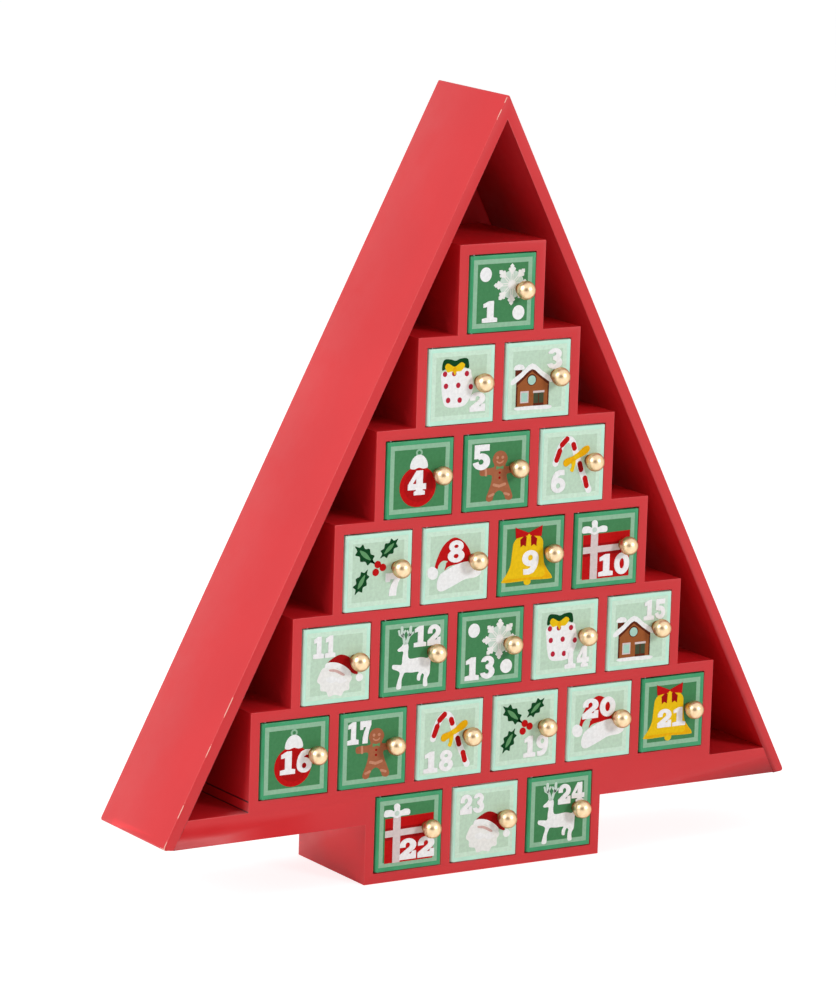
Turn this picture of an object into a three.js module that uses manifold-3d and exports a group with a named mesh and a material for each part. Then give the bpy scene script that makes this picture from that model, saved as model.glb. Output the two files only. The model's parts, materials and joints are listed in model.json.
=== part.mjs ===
// A wooden advent calendar in the shape of a tree: a stack of box rows with one to six small doors,
// a trunk box with three more, and two slanted boards that meet over them in a point.
// Millimetres. +X is to the right as seen from the front, +Y to the back and +Z up.
// The origin is the centre of the trunk's underside, halfway between front and back.
import * as THREE from "three";
import { mergeVertices } from "three/addons/utils/BufferGeometryUtils.js";
import Module from "manifold-3d";

const wasm = await Module();
wasm.setup();

// Doors
const doorSize = 36; // square
const doorThickness = 4.5;
const doorGap = 0.5; // between a door and its opening, on all four sides
const doorProud = 0.75; // how far the closed doors stand out of the frame's front
const doorFreeEdgeEase = 0.5; // chamfer on the long corners of the edge that swings
const hingeRoundOver = 0.35; // how far the hinge edge's rounding goes beyond half the thickness

// Shelves, dividers and rows
const rowCount = 6; // rows in the crown: one door in the top row, and one more in each row below
const trunkDoorCount = 3;
const board = 5; // thickness of shelves, dividers and the trunk's boards
const frameDepth = 60; // from front to back
const backThickness = 3; // of the back panel, let in between the frame's boards

// Slanted boards and base rails
const sideBoard = 5.5; // thickness
const highStepRoom = 5.6; // sideways, from the top row's upper corner to the slanted board
const lowStepRoom = 8; // the same at the lowest row
const railHeight = 13;
const tipRadius = 0.8; // at the point of the tree
const toeRadius = 1.5; // at the two lower corners

// Hinge pins, which are nails in the shelf above and the shelf below each door
const pinRadius = 0.8;
const pinGrip = 3; // length inside the door
const pinClearance = 0.3; // round the pin and past its end

// Door stops, small blocks that the free edge closes against
const stopSize = 3; // sideways and front to back
const stopHeight = 8;
const stopGap = 0.25;

// Ball knobs
const knobBallRadius = 4.45;
const knobNeckRadius = 1.9;
const knobNeckLength = 1.3; // from the door to where the ball begins
const knobFootRadius = 2.6;
const knobFootHeight = 0.6;
const knobShankRadius = 1.25;
const knobShankLength = 3; // inside the door
const knobShankClearance = 0.25;
const knobFromEdge = 8.7; // from the door's free edge to the knob's axis
const knobRise = 1.5; // above the middle of the door

// Faces per circle
const roundFaces = 12;
const pinFaces = 8;
const ballSteps = 6;

// What follows from the sizes above
const opening = doorSize + 2 * doorGap;
const pitch = opening + board;
const frontFace = -frameDepth / 2;
const backFace = frameDepth / 2;
const panelFace = backFace - backThickness;
const doorFront = frontFace - doorProud;
const doorBack = doorFront + doorThickness;
const hingeInset = doorThickness / 2 + hingeRoundOver; // from the door's hinge edge to the pin's axis
const hingeDepth = (doorFront + doorBack) / 2;
const trunkCeiling = board + opening;
const railTop = trunkCeiling;
const railBottom = railTop - railHeight;
const stackHalfWidth = (doors) => (doors * pitch + board) / 2;
const trunkHalfWidth = stackHalfWidth(trunkDoorCount);
const rowFloor = (row) => trunkCeiling + board + (rowCount - row) * pitch;
const rowTop = (row) => rowFloor(row) + pitch;
const openingCentre = (doors, index) => (index - (doors - 1) / 2) * pitch;
const pinX = (doors, index) => openingCentre(doors, index) - doorSize / 2 + hingeInset;

// The inner faces of the slanted boards lie on one line that passes the rows' upper corners.
const highInnerX = stackHalfWidth(1) + highStepRoom;
const lowInnerX = stackHalfWidth(rowCount) + lowStepRoom;
const slope = (lowInnerX - highInnerX) / (rowTop(1) - rowTop(rowCount));
const halfAngle = Math.atan(slope); // between a slanted board and the upright
const innerX = (height) => highInnerX + slope * (rowTop(1) - height);
const outerX = (height) => innerX(height) + sideBoard / Math.cos(halfAngle);
const innerPoint = rowTop(1) + highInnerX / slope;
const outerPoint = innerPoint + sideBoard / Math.sin(halfAngle);

const redPaint = new THREE.MeshStandardMaterial({ color: 0xd6454a, roughness: 0.45, metalness: 0 });
const greenPaint = new THREE.MeshStandardMaterial({ color: 0x2c8a57, roughness: 0.5, metalness: 0 });
const mintPaint = new THREE.MeshStandardMaterial({ color: 0xb4dcc4, roughness: 0.5, metalness: 0 });
const brass = new THREE.MeshStandardMaterial({ color: 0xd9b777, roughness: 0.3, metalness: 1 });

// A closed geometry as a solid that can be joined and cut.
function toSolid(geometry) {
  const bare = geometry.clone();
  bare.deleteAttribute("normal");
  bare.deleteAttribute("uv");
  const merged = mergeVertices(bare);
  return new wasm.Manifold(
    new wasm.Mesh({
      numProp: 3,
      vertProperties: new Float32Array(merged.attributes.position.array),
      triVerts: new Uint32Array(merged.index.array),
    }),
  );
}

function toGeometry(solid) {
  const mesh = solid.getMesh();
  const geometry = new THREE.BufferGeometry();
  geometry.setAttribute("position", new THREE.BufferAttribute(mesh.vertProperties, 3));
  geometry.setIndex(new THREE.BufferAttribute(mesh.triVerts, 1));
  geometry.computeVertexNormals();
  return geometry;
}

const joined = (geometries) =>
  toGeometry(geometries.map(toSolid).reduce((whole, piece) => whole.add(piece)));

const cut = (geometry, tools) =>
  toGeometry(tools.map(toSolid).reduce((whole, tool) => whole.subtract(tool), toSolid(geometry)));

function namedMesh(name, geometry, material) {
  const mesh = new THREE.Mesh(geometry, material);
  mesh.name = name;
  return mesh;
}

// A box from its lowest to its highest corner.
function block(low, high) {
  const size = high.map((value, axis) => value - low[axis]);
  const middle = high.map((value, axis) => (value + low[axis]) / 2);
  return new THREE.BoxGeometry(...size).translate(...middle);
}

function outline(points) {
  return new THREE.Shape(points.map(([x, z]) => new THREE.Vector2(x, z)));
}

// An outline drawn as seen from the front, as a solid from one depth to another.
function extrudedBack(shape, front, back) {
  const options = { depth: back - front, bevelEnabled: false, curveSegments: 5 };
  return new THREE.ExtrudeGeometry(shape, options).rotateX(Math.PI / 2).translate(0, back, 0);
}

// An upright round bar.
function uprightBar(radius, x, y, bottom, top) {
  return new THREE.CylinderGeometry(radius, radius, top - bottom, pinFaces)
    .rotateX(Math.PI / 2)
    .translate(x, y, (bottom + top) / 2);
}

// The nail ends over or under one row of doors. They start inside the shelf, and reach the doors'
// holes past the gap; direction is 1 for nails that point up and -1 for nails that hang down.
function hingePins(doors, shelfFace, direction) {
  const buried = shelfFace - (direction * board) / 2;
  const end = shelfFace + direction * (doorGap + pinGrip);
  const pins = [];
  for (let index = 0; index < doors; index++) {
    const ends = [Math.min(buried, end), Math.max(buried, end)];
    pins.push(uprightBar(pinRadius, pinX(doors, index), hingeDepth, ...ends));
  }
  return pins;
}

// A stop block at the upper end of the wall on the right of each opening.
function doorStops(doors, ceiling) {
  const stops = [];
  for (let index = 0; index < doors; index++) {
    const wallFace = openingCentre(doors, index) + opening / 2;
    const front = doorBack + stopGap;
    const low = [wallFace - stopSize, front, ceiling - stopHeight];
    const high = [wallFace + board / 2, front + stopSize, ceiling];
    stops.push(block(low, high));
  }
  return stops;
}

// The upright walls of a row, from the leftmost to the rightmost.
function walls(doors, bottom, top, back) {
  const made = [];
  for (let index = 0; index <= doors; index++) {
    const middle = openingCentre(doors, index) - pitch / 2;
    made.push(block([middle - board / 2, frontFace, bottom], [middle + board / 2, back, top]));
  }
  return made;
}

function shelf(halfWidth, bottom, back) {
  return block([-halfWidth, frontFace, bottom], [halfWidth, back, bottom + board]);
}

// One row of the crown: a shelf over its doors and the walls between them, standing on the shelf of
// the row below. The lowest row has a shelf under it too, which is also the trunk's ceiling.
function rowBox(row) {
  const floor = rowFloor(row);
  const ceiling = floor + opening;
  const halfWidth = stackHalfWidth(row);
  const pieces = [
    shelf(halfWidth, ceiling, panelFace),
    ...walls(row, floor, ceiling, panelFace),
    ...doorStops(row, ceiling),
    ...hingePins(row, ceiling, -1),
  ];
  if (row > 1) pieces.push(...hingePins(row - 1, rowTop(row), 1));
  if (row === rowCount) {
    pieces.push(
      shelf(halfWidth, trunkCeiling, panelFace),
      ...hingePins(row, floor, 1),
      ...hingePins(trunkDoorCount, trunkCeiling, -1),
    );
  }
  return namedMesh(`row_${row}_box`, joined(pieces), redPaint);
}

// The trunk: a bottom board and two outer walls of the full depth, with dividers up to the panel.
function trunkBox() {
  const outerWall = (side) => {
    const faces = [side * trunkHalfWidth, side * (trunkHalfWidth - board)];
    return block([Math.min(...faces), frontFace, 0], [Math.max(...faces), backFace, trunkCeiling]);
  };
  const dividers = walls(trunkDoorCount, board, trunkCeiling, panelFace).slice(1, -1);
  const pieces = [
    shelf(trunkHalfWidth, 0, backFace),
    outerWall(-1),
    outerWall(1),
    ...dividers,
    ...doorStops(trunkDoorCount, trunkCeiling),
    ...hingePins(trunkDoorCount, board, 1),
  ];
  return namedMesh("trunk_box", joined(pieces), redPaint);
}

// A slanted board, mitred against the other one under the tree's point. Its inner face has a point
// at the rail's top, so that the rail and the back panel meet it there face to face.
function slantedBoard(name, side) {
  const shape = new THREE.Shape();
  const toe = outerX(railBottom);
  const ease = toeRadius / Math.tan((Math.PI / 2 - halfAngle) / 2);
  const tipCentre = outerPoint - tipRadius / Math.sin(halfAngle);
  const tipSide = [tipRadius * Math.cos(halfAngle), tipCentre + tipRadius * Math.sin(halfAngle)];
  shape.moveTo(side * innerX(railBottom), railBottom);
  shape.lineTo(side * (toe - ease), railBottom);
  shape.quadraticCurveTo(side * toe, railBottom, side * outerX(railBottom + ease), railBottom + ease);
  shape.lineTo(side * tipSide[0], tipSide[1]);
  shape.quadraticCurveTo(side * tipSide[0] * 0.5, tipCentre + tipRadius, 0, tipCentre + tipRadius);
  shape.lineTo(0, innerPoint);
  shape.lineTo(side * innerX(railTop), railTop);
  return namedMesh(name, extrudedBack(shape, frontFace, backFace), redPaint);
}

// A base rail between the trunk and the foot of a slanted board.
function baseRail(name, side) {
  const shape = outline([
    [side * trunkHalfWidth, railBottom],
    [side * innerX(railBottom), railBottom],
    [side * innerX(railTop), railTop],
    [side * trunkHalfWidth, railTop],
  ]);
  return namedMesh(name, extrudedBack(shape, frontFace, backFace), redPaint);
}

// The back panel fills the triangle above the rails and reaches down between the trunk's walls.
function backPanel() {
  const tongue = trunkHalfWidth - board;
  const shape = outline([
    [-tongue, board],
    [tongue, board],
    [tongue, railTop],
    [innerX(railTop), railTop],
    [0, innerPoint],
    [-innerX(railTop), railTop],
    [-tongue, railTop],
  ]);
  return namedMesh("back_panel", extrudedBack(shape, panelFace, backFace), redPaint);
}

// A door seen from above, with the pin's axis at the origin. The hinge edge is rounded about the
// pin, so that it clears the wall as the door turns.
function doorGeometry() {
  const half = doorThickness / 2;
  const flatStart = -Math.sqrt(hingeInset ** 2 - half ** 2);
  const freeEdge = doorSize - hingeInset;
  const startAngle = Math.atan2(half, flatStart);
  const shape = new THREE.Shape();
  shape.moveTo(flatStart, half);
  shape.absarc(0, 0, hingeInset, startAngle, 2 * Math.PI - startAngle, false);
  shape.lineTo(freeEdge - doorFreeEdgeEase, -half);
  shape.lineTo(freeEdge, -half + doorFreeEdgeEase);
  shape.lineTo(freeEdge, half - doorFreeEdgeEase);
  shape.lineTo(freeEdge - doorFreeEdgeEase, half);
  const options = { depth: doorSize, bevelEnabled: false, curveSegments: 8 };
  const slab = new THREE.ExtrudeGeometry(shape, options).translate(0, 0, -doorSize / 2);
  const holeRadius = pinRadius + pinClearance;
  const holeEnd = doorSize / 2 - pinGrip - pinClearance;
  const shankDepth = knobShankLength + knobShankClearance;
  const shankHoleRadius = knobShankRadius + knobShankClearance;
  const shankHole = new THREE.CylinderGeometry(shankHoleRadius, shankHoleRadius, 2 * shankDepth, pinFaces)
    .translate(freeEdge - knobFromEdge, -half, knobRise);
  return cut(slab, [
    uprightBar(holeRadius, 0, 0, holeEnd, doorSize),
    uprightBar(holeRadius, 0, 0, -doorSize, -holeEnd),
    shankHole,
  ]);
}

// A ball knob on its foot and neck, with the shank that goes into the door. The axis is Y, and the
// ball is on the side of +Y.
function knobGeometry() {
  const neckAngle = Math.asin(knobNeckRadius / knobBallRadius);
  const ballCentre = knobNeckLength + knobBallRadius * Math.cos(neckAngle);
  const profile = [
    [0, -knobShankLength],
    [knobShankRadius, -knobShankLength],
    [knobShankRadius, 0],
    [knobFootRadius, 0],
    [knobFootRadius, knobFootHeight],
    [knobNeckRadius, knobNeckLength],
  ].map(([radius, height]) => new THREE.Vector2(radius, height));
  for (let step = 1; step <= ballSteps; step++) {
    const angle = neckAngle + ((Math.PI - neckAngle) * step) / ballSteps;
    const radius = step < ballSteps ? knobBallRadius * Math.sin(angle) : 0;
    profile.push(new THREE.Vector2(radius, ballCentre - knobBallRadius * Math.cos(angle)));
  }
  return new THREE.LatheGeometry(profile, roundFaces);
}

// A door with its knob, in a group whose origin is the middle of the pins' axis.
function hungDoor(number, paint, x, height, shapes) {
  const label = String(number).padStart(2, "0");
  const door = namedMesh(`door_${label}`, shapes.door, paint);
  const knob = namedMesh(`knob_${label}`, shapes.knob, brass);
  knob.rotation.x = Math.PI;
  knob.position.set(doorSize - hingeInset - knobFromEdge, -doorThickness / 2, knobRise);
  const hung = new THREE.Group();
  hung.add(door, knob);
  hung.position.set(x, hingeDepth, height);
  return hung;
}

const greenDoors = new Set([1, 4, 5, 9, 10, 12, 13, 16, 17, 21, 22, 24]);

function allDoors() {
  const shapes = { door: doorGeometry(), knob: knobGeometry() };
  const rows = [];
  for (let row = 1; row <= rowCount; row++) rows.push({ doors: row, floor: rowFloor(row) });
  rows.push({ doors: trunkDoorCount, floor: board });
  const hung = [];
  for (const { doors, floor } of rows) {
    for (let index = 0; index < doors; index++) {
      const number = hung.length + 1;
      const paint = greenDoors.has(number) ? greenPaint : mintPaint;
      hung.push(hungDoor(number, paint, pinX(doors, index), floor + opening / 2, shapes));
    }
  }
  return hung;
}

const calendar = new THREE.Group();
calendar.add(
  slantedBoard("left_side_board", -1),
  slantedBoard("right_side_board", 1),
  baseRail("base_rail_left", -1),
  baseRail("base_rail_right", 1),
  backPanel(),
  trunkBox(),
);
for (let row = 1; row <= rowCount; row++) calendar.add(rowBox(row));
calendar.add(...allDoors());

export default calendar;
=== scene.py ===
"""Looks for the wooden tree-shaped advent calendar: its paint, its printed doors and its brass knobs.

Metres in the pack's frame: +X to the right seen from the front, +Y to the back, +Z up. The pictures
and numerals are drawn in millimetres from the middle of their door.
"""
import json
import math

import bmesh
import bpy
from mathutils import Matrix, Vector

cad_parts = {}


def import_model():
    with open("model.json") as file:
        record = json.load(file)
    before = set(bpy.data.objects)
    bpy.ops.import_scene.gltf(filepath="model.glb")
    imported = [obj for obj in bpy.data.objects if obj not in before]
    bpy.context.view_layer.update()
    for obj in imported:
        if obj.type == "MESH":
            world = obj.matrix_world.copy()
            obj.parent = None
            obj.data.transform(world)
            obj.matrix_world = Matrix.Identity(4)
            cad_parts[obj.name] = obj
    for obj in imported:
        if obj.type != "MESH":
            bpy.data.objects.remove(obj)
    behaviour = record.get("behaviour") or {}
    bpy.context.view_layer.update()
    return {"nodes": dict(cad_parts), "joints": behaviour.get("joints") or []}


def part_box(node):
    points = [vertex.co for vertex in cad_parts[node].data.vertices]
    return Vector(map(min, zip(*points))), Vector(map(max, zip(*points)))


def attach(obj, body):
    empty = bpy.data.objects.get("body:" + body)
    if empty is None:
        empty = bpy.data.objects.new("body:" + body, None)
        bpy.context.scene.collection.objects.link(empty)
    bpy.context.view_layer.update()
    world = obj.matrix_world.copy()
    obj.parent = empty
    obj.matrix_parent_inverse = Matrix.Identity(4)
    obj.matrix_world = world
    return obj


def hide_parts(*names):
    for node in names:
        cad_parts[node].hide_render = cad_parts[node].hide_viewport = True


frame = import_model()

MM = 0.001
CARCASS = "calendar"
DOOR_COUNT = 24
GREEN_DOORS = {1, 4, 5, 9, 10, 12, 13, 16, 17, 21, 22, 24}

# The camera that the corners of the doors in the photograph give
CAMERA_PLACE = (-1.3038, -2.0349, 0.6612)
CAMERA_YAW = 0.5618
CAMERA_PITCH = 0.2
CAMERA_ROLL = 0.0311
CAMERA_SHIFT = (-0.0009, 0.0006)
CAMERA_CLIP = (0.1, 50)
LENS = 188.83
SENSOR = 36.0

# Floor, room and light
FLOOR_SIZE = 12
FLOOR_BOUNCE = 0.92
FLOOR_TONE = 0.5
FLOOR_GLOW = 0.8
WORLD_LIGHT = 0.4
# The glowing card behind the camera that paints the reflected spot in the knobs
KNOB_REFLECTION_CARD_SIZE = 2.4
KNOB_REFLECTION_CARD_BEHIND = 0.2

# Meshes: points nearer than this are one, and faces within this angle are flat
WELD = 1e-6
JOINED_WELD = 1e-5
FLAT_ANGLE = math.radians(0.5)

# Rounded edges
CONVEX_EDGE = math.radians(25)
EDGE_SEGMENTS = 3
PAINTED_EDGE = 0.8 * MM
DOOR_EDGE = 0.45 * MM
HOLE_REACH = 1.6 * MM
PANEL_EDGE = 0.25 * MM
PANEL_SEGMENTS = 2

# Hinge nails
NAIL_RADIUS = 0.8 * MM
NAIL_REACH = 1.05 * NAIL_RADIUS
NAIL_SIDES = 16
NAIL_IN_SHELF = 2.5 * MM
NAIL_IN_DOOR = 3.0 * MM
DOOR_GAP = 0.5 * MM

# The glue joints at the ends of the lowest shelf, and the painted shade in the corner at the foot of the
# lowest row's side
SHELF = 5 * MM
JOINT_AND_SHADE_WIDTH = 0.5 * MM

# Where the left board's outer edge is chipped: x, z and radius in millimetres, and the y of them all
CHIPS = [(-4.6, 359, 2.4), (-1.5, 365, 1.6), (-139.6, 95, 3.2), (-141.7, 91, 2.6), (-150.3, 74, 3.0),
         (-164.2, 47, 3.6), (-172.3, 31, 2.6)]
CHIPS_Y = -30

# Knobs, in millimetres: the ball, neck, foot and shank by their radius
KNOB_BALL = 4.45
KNOB_NECK = 1.9
KNOB_NECK_LENGTH = 1.3
KNOB_FOOT = 2.6
KNOB_SHANK = 1.25
KNOB_SHANK_LENGTH = 3
KNOB_SIDES = 40
KNOB_BALL_STEPS = 26

# Prints, in millimetres
PRINT_HALF = 16.0
PRINT_SHIFT = (-0.35, 0.15)
LINE_WIDTH = 2.2
LAYER = 0.07
FIELD_LAYER = 1
BORDER_LAYER = 1.5
NUMERAL_LAYER = 7
INK_EDGE = 0.025
DIGIT_GAP = 0.8
DIGIT_BOX = 10.0

# The degrees between the points of an arc
ARC_STEP = 12


# Colours

def linear(red, green, blue):
    """An 8-bit display colour as the linear values that the shader sockets take."""
    def one(value):
        share = value / 255
        return share / 12.92 if share <= 0.04045 else ((share + 0.055) / 1.055) ** 2.4
    return (one(red), one(green), one(blue), 1.0)


def grey(value):
    return (value, value, value, 1.0)


WHITE = grey(1.0)
BLACK = grey(0.0)
RED_FRESH = linear(214, 31, 38)
RED_DEEP = linear(207, 25, 33)
# Lighter edge tone: paint worn thin, and a painted highlight on every rounded edge
RED_WORN_AND_HIGHLIGHT = linear(226, 92, 92)
PRIMER = linear(236, 182, 164)
# Dark glue joint over the lowest shelf, and painted shade in the corner under it
JOINT_AND_CORNER_SHADE = linear(48, 6, 10)
GREEN_FRESH = linear(48, 158, 104)
GREEN_DEEP = linear(38, 146, 92)
MINT_FRESH = linear(202, 246, 226)
MINT_DEEP = linear(192, 238, 216)
BRASS_BRIGHT = linear(248, 224, 186)
BRASS_DULL = linear(234, 204, 160)
BRASS_RIM = linear(206, 130, 84)
# Dark brass of the knobs' foot and neck: painted shade under the ball
NECK_SHADE = linear(104, 70, 36)
NECK_SHADE_PALE = linear(138, 98, 56)
STEEL = linear(150, 150, 152)
STEEL_PALE = linear(196, 196, 198)
# Glow of the card that paints the small reflected spot in each knob
KNOB_REFLECTION_GLOW = linear(128, 100, 74)
INK_SHEEN = 0.06

INKS = {
    "green_field": linear(72, 136, 88),
    "green_line": linear(150, 194, 162),
    "mint_field": linear(197, 224, 201),
    "mint_line": linear(213, 240, 219),
    "white": linear(248, 248, 248),
    "digit": linear(250, 248, 249),
    "snow": linear(244, 243, 240),
    "frost": linear(208, 226, 214),
    "ribbon": linear(222, 206, 204),
    "blush": linear(214, 176, 170),
    "red": linear(194, 14, 16),
    "garnet": linear(178, 12, 14),
    "deep_red": linear(160, 8, 12),
    "berry": linear(190, 38, 60),
    "yellow": linear(242, 198, 20),
    "amber": linear(240, 178, 10),
    "leaf": linear(6, 66, 28),
    "leaf_light": linear(100, 156, 104),
    "brown": linear(158, 90, 48),
    "biscuit": linear(170, 102, 70),
    "dark_brown": linear(96, 40, 20),
    "icing": linear(204, 142, 112),
    "window": linear(176, 216, 200),
    "door_dark": linear(70, 78, 56),
}


# Materials

# A mix node's two colours, and its two numbers, by their places among its inputs
COLOUR_SOCKETS = (6, 7)
NUMBER_SOCKETS = (2, 3)


class Paint:
    """A material with one Principled shader, and short ways to add nodes to it."""

    def __init__(self, name):
        self.material = bpy.data.materials.new(name)
        self.material.use_nodes = True
        self.tree = self.material.node_tree
        self.shader = self.tree.nodes["Principled BSDF"]
        self.place = self.node("ShaderNodeTexCoord").outputs["Object"]

    def node(self, kind, **values):
        made = self.tree.nodes.new(kind)
        for name, value in values.items():
            setattr(made, name, value)
        return made

    def link(self, source, target):
        self.tree.links.new(source, target)

    def set(self, **values):
        for name, value in values.items():
            self.shader.inputs[name.replace("_", " ")].default_value = value

    def noise(self, size, detail=3.0, roughness=0.5):
        """Noise with features of about that size in metres."""
        made = self.node("ShaderNodeTexNoise")
        made.inputs["Scale"].default_value = 1 / size
        made.inputs["Detail"].default_value = detail
        made.inputs["Roughness"].default_value = roughness
        self.link(self.place, made.inputs["Vector"])
        return made.outputs["Fac"]

    def ramp(self, source, low, high, first=0.0, last=1.0):
        """The source, from low to high, as a number from first to last."""
        made = self.node("ShaderNodeMapRange", clamp=True)
        for name, value in zip(("From Min", "From Max", "To Min", "To Max"), (low, high, first, last)):
            made.inputs[name].default_value = value
        self.link(source, made.inputs["Value"])
        return made.outputs["Result"]

    def math(self, operation, first, second):
        made = self.node("ShaderNodeMath", operation=operation)
        for socket, value in zip(made.inputs, (first, second)):
            if isinstance(value, (int, float)):
                socket.default_value = value
            else:
                self.link(value, socket)
        return made.outputs["Value"]

    def mix(self, share, first, second):
        """The first colour at a share of 0 and the second at 1."""
        made = self.node("ShaderNodeMix", data_type="RGBA")
        inputs = [made.inputs["Factor"]] + [made.inputs[socket] for socket in COLOUR_SOCKETS]
        for socket, value in zip(inputs, (share, first, second)):
            if isinstance(value, (int, float, tuple)):
                socket.default_value = value
            else:
                self.link(value, socket)
        return made.outputs[2]

    def bump(self, height, depth, strength=1.0):
        """Bump of that depth in metres; more bumps add up."""
        made = self.node("ShaderNodeBump")
        made.inputs["Distance"].default_value = depth
        made.inputs["Strength"].default_value = strength
        self.link(height, made.inputs["Height"])
        normal = self.shader.inputs["Normal"]
        if normal.is_linked:
            self.link(normal.links[0].from_socket, made.inputs["Normal"])
        self.link(made.outputs["Normal"], normal)


def joint_lines(paint):
    """Where the lowest shelf's ends meet the wall above (a dark glue joint) and the rail below (painted shade
    in the corner), as a share from 0 to 1.
    """
    low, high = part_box("row_6_box")
    rail_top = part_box("base_rail_left")[1].z
    axes = paint.node("ShaderNodeSeparateXYZ")
    paint.link(paint.place, axes.inputs["Vector"])
    sideways = paint.math("ABSOLUTE", axes.outputs["X"], 0)
    from_face = paint.math("ABSOLUTE", paint.math("SUBTRACT", sideways, high.x), 0)
    on_face = paint.ramp(from_face, 0.4 * MM, 0.2 * MM)
    behind_front = paint.ramp(axes.outputs["Y"], low.y + 0.3 * MM, low.y + 0.8 * MM)
    share = 0
    # The lower line, at the rail's top, is painted shade in the corner; the upper is the glue joint
    for height in (rail_top, rail_top + SHELF):
        away = paint.math("ABSOLUTE", paint.math("SUBTRACT", axes.outputs["Z"], height), 0)
        share = paint.math("MAXIMUM", share, paint.ramp(away, JOINT_AND_SHADE_WIDTH, 0.4 * JOINT_AND_SHADE_WIDTH))
    return paint.math("MULTIPLY", paint.math("MULTIPLY", on_face, behind_front), share)


def red_paint(name, edge=False, joints=False):
    """Sprayed satin paint over board.

    On edges it is a little lighter, partly paint worn thin and partly a painted highlight along every rounded
    edge, with a few chips on the left board. With joints it shows the glue joints at the ends of the lowest
    shelf, and painted shade in the corner at the foot of the lowest row's side.
    """
    paint = Paint(name)
    cloud = paint.noise(70 * MM, detail=2)
    grain = paint.noise(1.1 * MM, detail=2)
    smudge = paint.noise(18 * MM, detail=5, roughness=0.62)
    tone = paint.mix(paint.ramp(cloud, 0.35, 0.65), RED_DEEP, RED_FRESH)
    if joints:
        # Darkens the glue joint and paints shade into the corner at the foot of the lowest row's side
        tone = paint.mix(joint_lines(paint), tone, JOINT_AND_CORNER_SHADE)
    if edge:
        # Every rounded edge a little lighter: wear, and a painted highlight
        tone = paint.mix(0.25, tone, RED_WORN_AND_HIGHLIGHT)
        ragged = paint.ramp(paint.noise(1.3 * MM, detail=3), 0.3, 0.7, first=0.5, last=1.5)
        for x, z, radius in CHIPS:
            away = paint.node("ShaderNodeVectorMath", operation="DISTANCE")
            paint.link(paint.place, away.inputs[0])
            away.inputs[1].default_value = (x * MM, CHIPS_Y * MM, z * MM)
            worn = paint.math("MULTIPLY", away.outputs["Value"], ragged)
            tone = paint.mix(paint.ramp(worn, radius * MM, 0.8 * radius * MM), tone, PRIMER)
    paint.link(tone, paint.shader.inputs["Base Color"])
    paint.link(paint.ramp(smudge, 0.3, 0.7, first=0.34, last=0.46), paint.shader.inputs["Roughness"])
    paint.bump(grain, depth=0.02 * MM, strength=0.5)
    paint.bump(paint.noise(9 * MM, detail=2), depth=0.05 * MM, strength=0.4)
    return paint.material


def door_paint(name, fresh, deep):
    """Gloss paint on a small wooden block."""
    paint = Paint(name)
    tone = paint.mix(paint.ramp(paint.noise(9 * MM), 0.35, 0.65), deep, fresh)
    paint.link(tone, paint.shader.inputs["Base Color"])
    rough = paint.ramp(paint.noise(5 * MM), 0.3, 0.7, first=0.3, last=0.42)
    paint.link(rough, paint.shader.inputs["Roughness"])
    paint.bump(paint.noise(0.9 * MM, detail=2), depth=0.015 * MM, strength=0.5)
    return paint.material


def ink(name, colour):
    """Screen-printed ink: nearly even, with the slight mottling and grain of a thin print."""
    paint = Paint(name)
    paint.set(Specular_IOR_Level=INK_SHEEN)
    pale = tuple(min(1.0, value * 1.05 + 0.002) for value in colour[:3]) + (1.0,)
    deep = tuple(value * 0.94 for value in colour[:3]) + (1.0,)
    mottle = paint.ramp(paint.noise(1.6 * MM, detail=4, roughness=0.6), 0.35, 0.65)
    paint.link(paint.mix(mottle, deep, pale), paint.shader.inputs["Base Color"])
    rough = paint.ramp(paint.noise(0.6 * MM), 0.3, 0.7, first=0.44, last=0.56)
    paint.link(rough, paint.shader.inputs["Roughness"])
    paint.bump(paint.noise(0.35 * MM, detail=2), depth=0.01 * MM, strength=0.4)
    return paint.material


def brass():
    """Polished brass with a fine grain and a few dull patches."""
    paint = Paint("polished_brass")
    paint.set(Metallic=1.0, Specular_Tint=BRASS_RIM)
    patches = paint.ramp(paint.noise(2.5 * MM, detail=4), 0.35, 0.7)
    paint.link(paint.mix(patches, BRASS_BRIGHT, BRASS_DULL), paint.shader.inputs["Base Color"])
    rough = paint.ramp(paint.noise(1.2 * MM), 0.3, 0.7, first=0.3, last=0.4)
    paint.link(rough, paint.shader.inputs["Roughness"])
    paint.bump(paint.noise(0.3 * MM, detail=2), depth=0.004 * MM, strength=0.5)
    return paint.material


def tarnished_brass():
    """The foot and neck of each knob, in darker brass: painted shade for the neck under the ball."""
    paint = Paint("tarnished_brass")
    paint.set(Metallic=1.0, Roughness=0.5)
    stain = paint.ramp(paint.noise(0.9 * MM, detail=3), 0.35, 0.65)
    paint.link(paint.mix(stain, NECK_SHADE, NECK_SHADE_PALE), paint.shader.inputs["Base Color"])
    return paint.material


def steel():
    """The wire of the hinge nails."""
    paint = Paint("nail_steel")
    paint.set(Metallic=1.0)
    streaks = paint.ramp(paint.noise(0.7 * MM, detail=4), 0.3, 0.7)
    paint.link(paint.mix(streaks, STEEL, STEEL_PALE), paint.shader.inputs["Base Color"])
    paint.link(paint.ramp(streaks, 0, 1, first=0.3, last=0.5), paint.shader.inputs["Roughness"])
    return paint.material


# Outlines in millimetres, as lists of (x, z) points

def arc(x, z, radius_x, radius_z, start, end):
    """Points on an ellipse from one angle to another, in degrees."""
    steps = max(3, round(abs(end - start) / ARC_STEP))
    angles = [math.radians(start + (end - start) * step / steps) for step in range(steps + 1)]
    return [(x + radius_x * math.cos(angle), z + radius_z * math.sin(angle)) for angle in angles]


def disc(x, z, radius_x, radius_z=None):
    return arc(x, z, radius_x, radius_z or radius_x, 0, 360)[:-1]


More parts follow.
